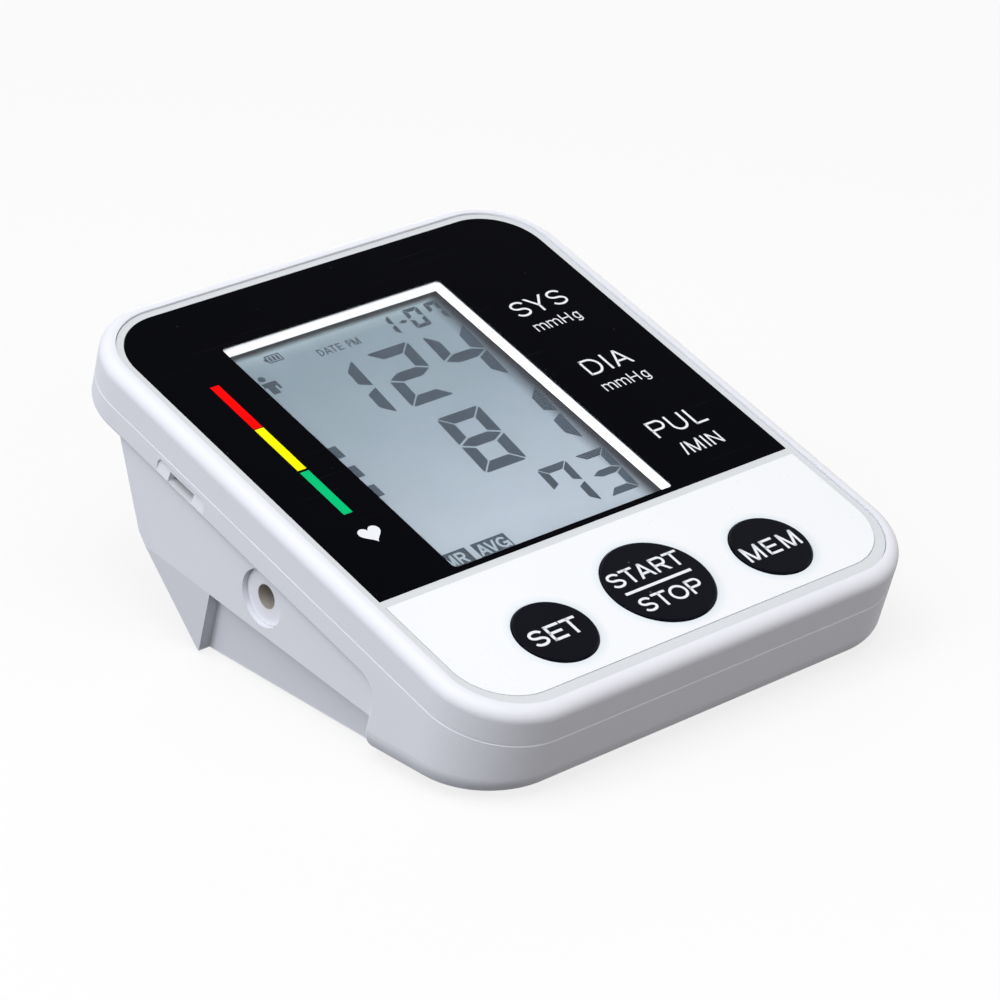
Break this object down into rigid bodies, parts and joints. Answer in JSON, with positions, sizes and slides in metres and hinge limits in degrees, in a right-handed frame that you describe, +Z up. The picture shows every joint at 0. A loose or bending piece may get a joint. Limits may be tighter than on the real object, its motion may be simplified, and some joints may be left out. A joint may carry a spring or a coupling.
{
  "type": "home blood pressure monitor",
  "caption": "Desktop blood pressure monitor with a tilted display face, round keys, side air socket and USB inlet, battery door underneath and an air pump inside.",
  "frame": {"origin": "centre of the outline on the floor, under the rubber feet", "axes": "+X to the right of someone facing the display, +Y from the keys to the raised back, +Z up"},
  "size_m": [0.106, 0.1212, 0.0545],
  "materials": {
    "white_case": "satin gloss",
    "grey_border": "satin",
    "black_panel": "gloss",
    "clear_window": "clear",
    "white_panel": "gloss",
    "black_rubber": "matt",
    "display": "gloss",
    "white_inner": "matt",
    "grey_rubber": "matt",
    "black_key": "gloss",
    "dark_plastic": "matt",
    "board_green": "satin",
    "steel": "brushed",
    "grey_plastic": "matt",
    "clear_silicone": "satin",
    "brass": "polished",
    "cell_jacket": "satin",
    "nickel": "bright",
    "wire_jacket": "satin"
  },
  "bodies": {
    "case": {"top_case": "white_case", "bottom_case": "white_case", "border_film": "grey_border", "display_panel": "black_panel", "display_window": "clear_window", "key_panel": "white_panel", "display_gasket": "black_rubber", "display_glass": "display", "display_holder": "white_inner", "connector_strips": "grey_rubber", "key_switches": "dark_plastic", "main_board": "board_green", "processor": "dark_plastic", "buzzer": "dark_plastic", "board_parts": "dark_plastic", "usb_port": "steel", "usb_contacts": "dark_plastic", "air_socket": "grey_plastic", "air_manifold": "white_inner", "socket_hose": "clear_silicone", "sensor_hose": "clear_silicone", "pump_hose": "clear_silicone", "valve_hose": "clear_silicone", "pump_motor": "steel", "pump_head": "grey_plastic", "pump_cushions": "black_rubber", "exhaust_valve": "steel", "pressure_sensor": "grey_plastic", "battery_cells": "cell_jacket", "battery_contacts": "nickel", "hookup_wires": "wire_jacket", "case_screws": "steel", "board_screws": "steel", "rubber_feet": "black_rubber"},
    "set_key": {"set_button": "black_key", "set_plunger": "white_inner"},
    "start_key": {"start_button": "black_key", "start_plunger": "white_inner"},
    "memory_key": {"memory_button": "black_key", "memory_plunger": "white_inner"},
    "door": {"battery_door": "white_case"},
    "cam": {"pump_cam": "brass"},
    "plunger": {"valve_plunger": "brass"}
  },
  "joints": [
    {"name": "set_press", "type": "slide", "parent": "case", "child": "set_key", "axis": [0, 0.2965, -0.955], "range_m": [0, 0.0005], "stiffness_N_per_m": 800},
    {"name": "start_press", "type": "slide", "parent": "case", "child": "start_key", "axis": [0, 0.2965, -0.955], "range_m": [0, 0.0005], "stiffness_N_per_m": 800},
    {"name": "memory_press", "type": "slide", "parent": "case", "child": "memory_key", "axis": [0, 0.2965, -0.955], "range_m": [0, 0.0005], "stiffness_N_per_m": 800},
    {"name": "door_hinge", "type": "hinge", "parent": "case", "child": "door", "pos_m": [0, -0.0392, 0.0021], "axis": [-1, 0, 0], "range_deg": [0, 90]},
    {"name": "cam_spin", "type": "hinge", "parent": "case", "child": "cam", "pos_m": [-0.021, 0.02639, 0.0225], "axis": [1, 0, 0], "continuous": true},
    {"name": "plunger_lift", "type": "slide", "parent": "case", "child": "plunger", "axis": [0, 0, 1], "range_m": [0, 0.001], "stiffness_N_per_m": 60}
  ]
}
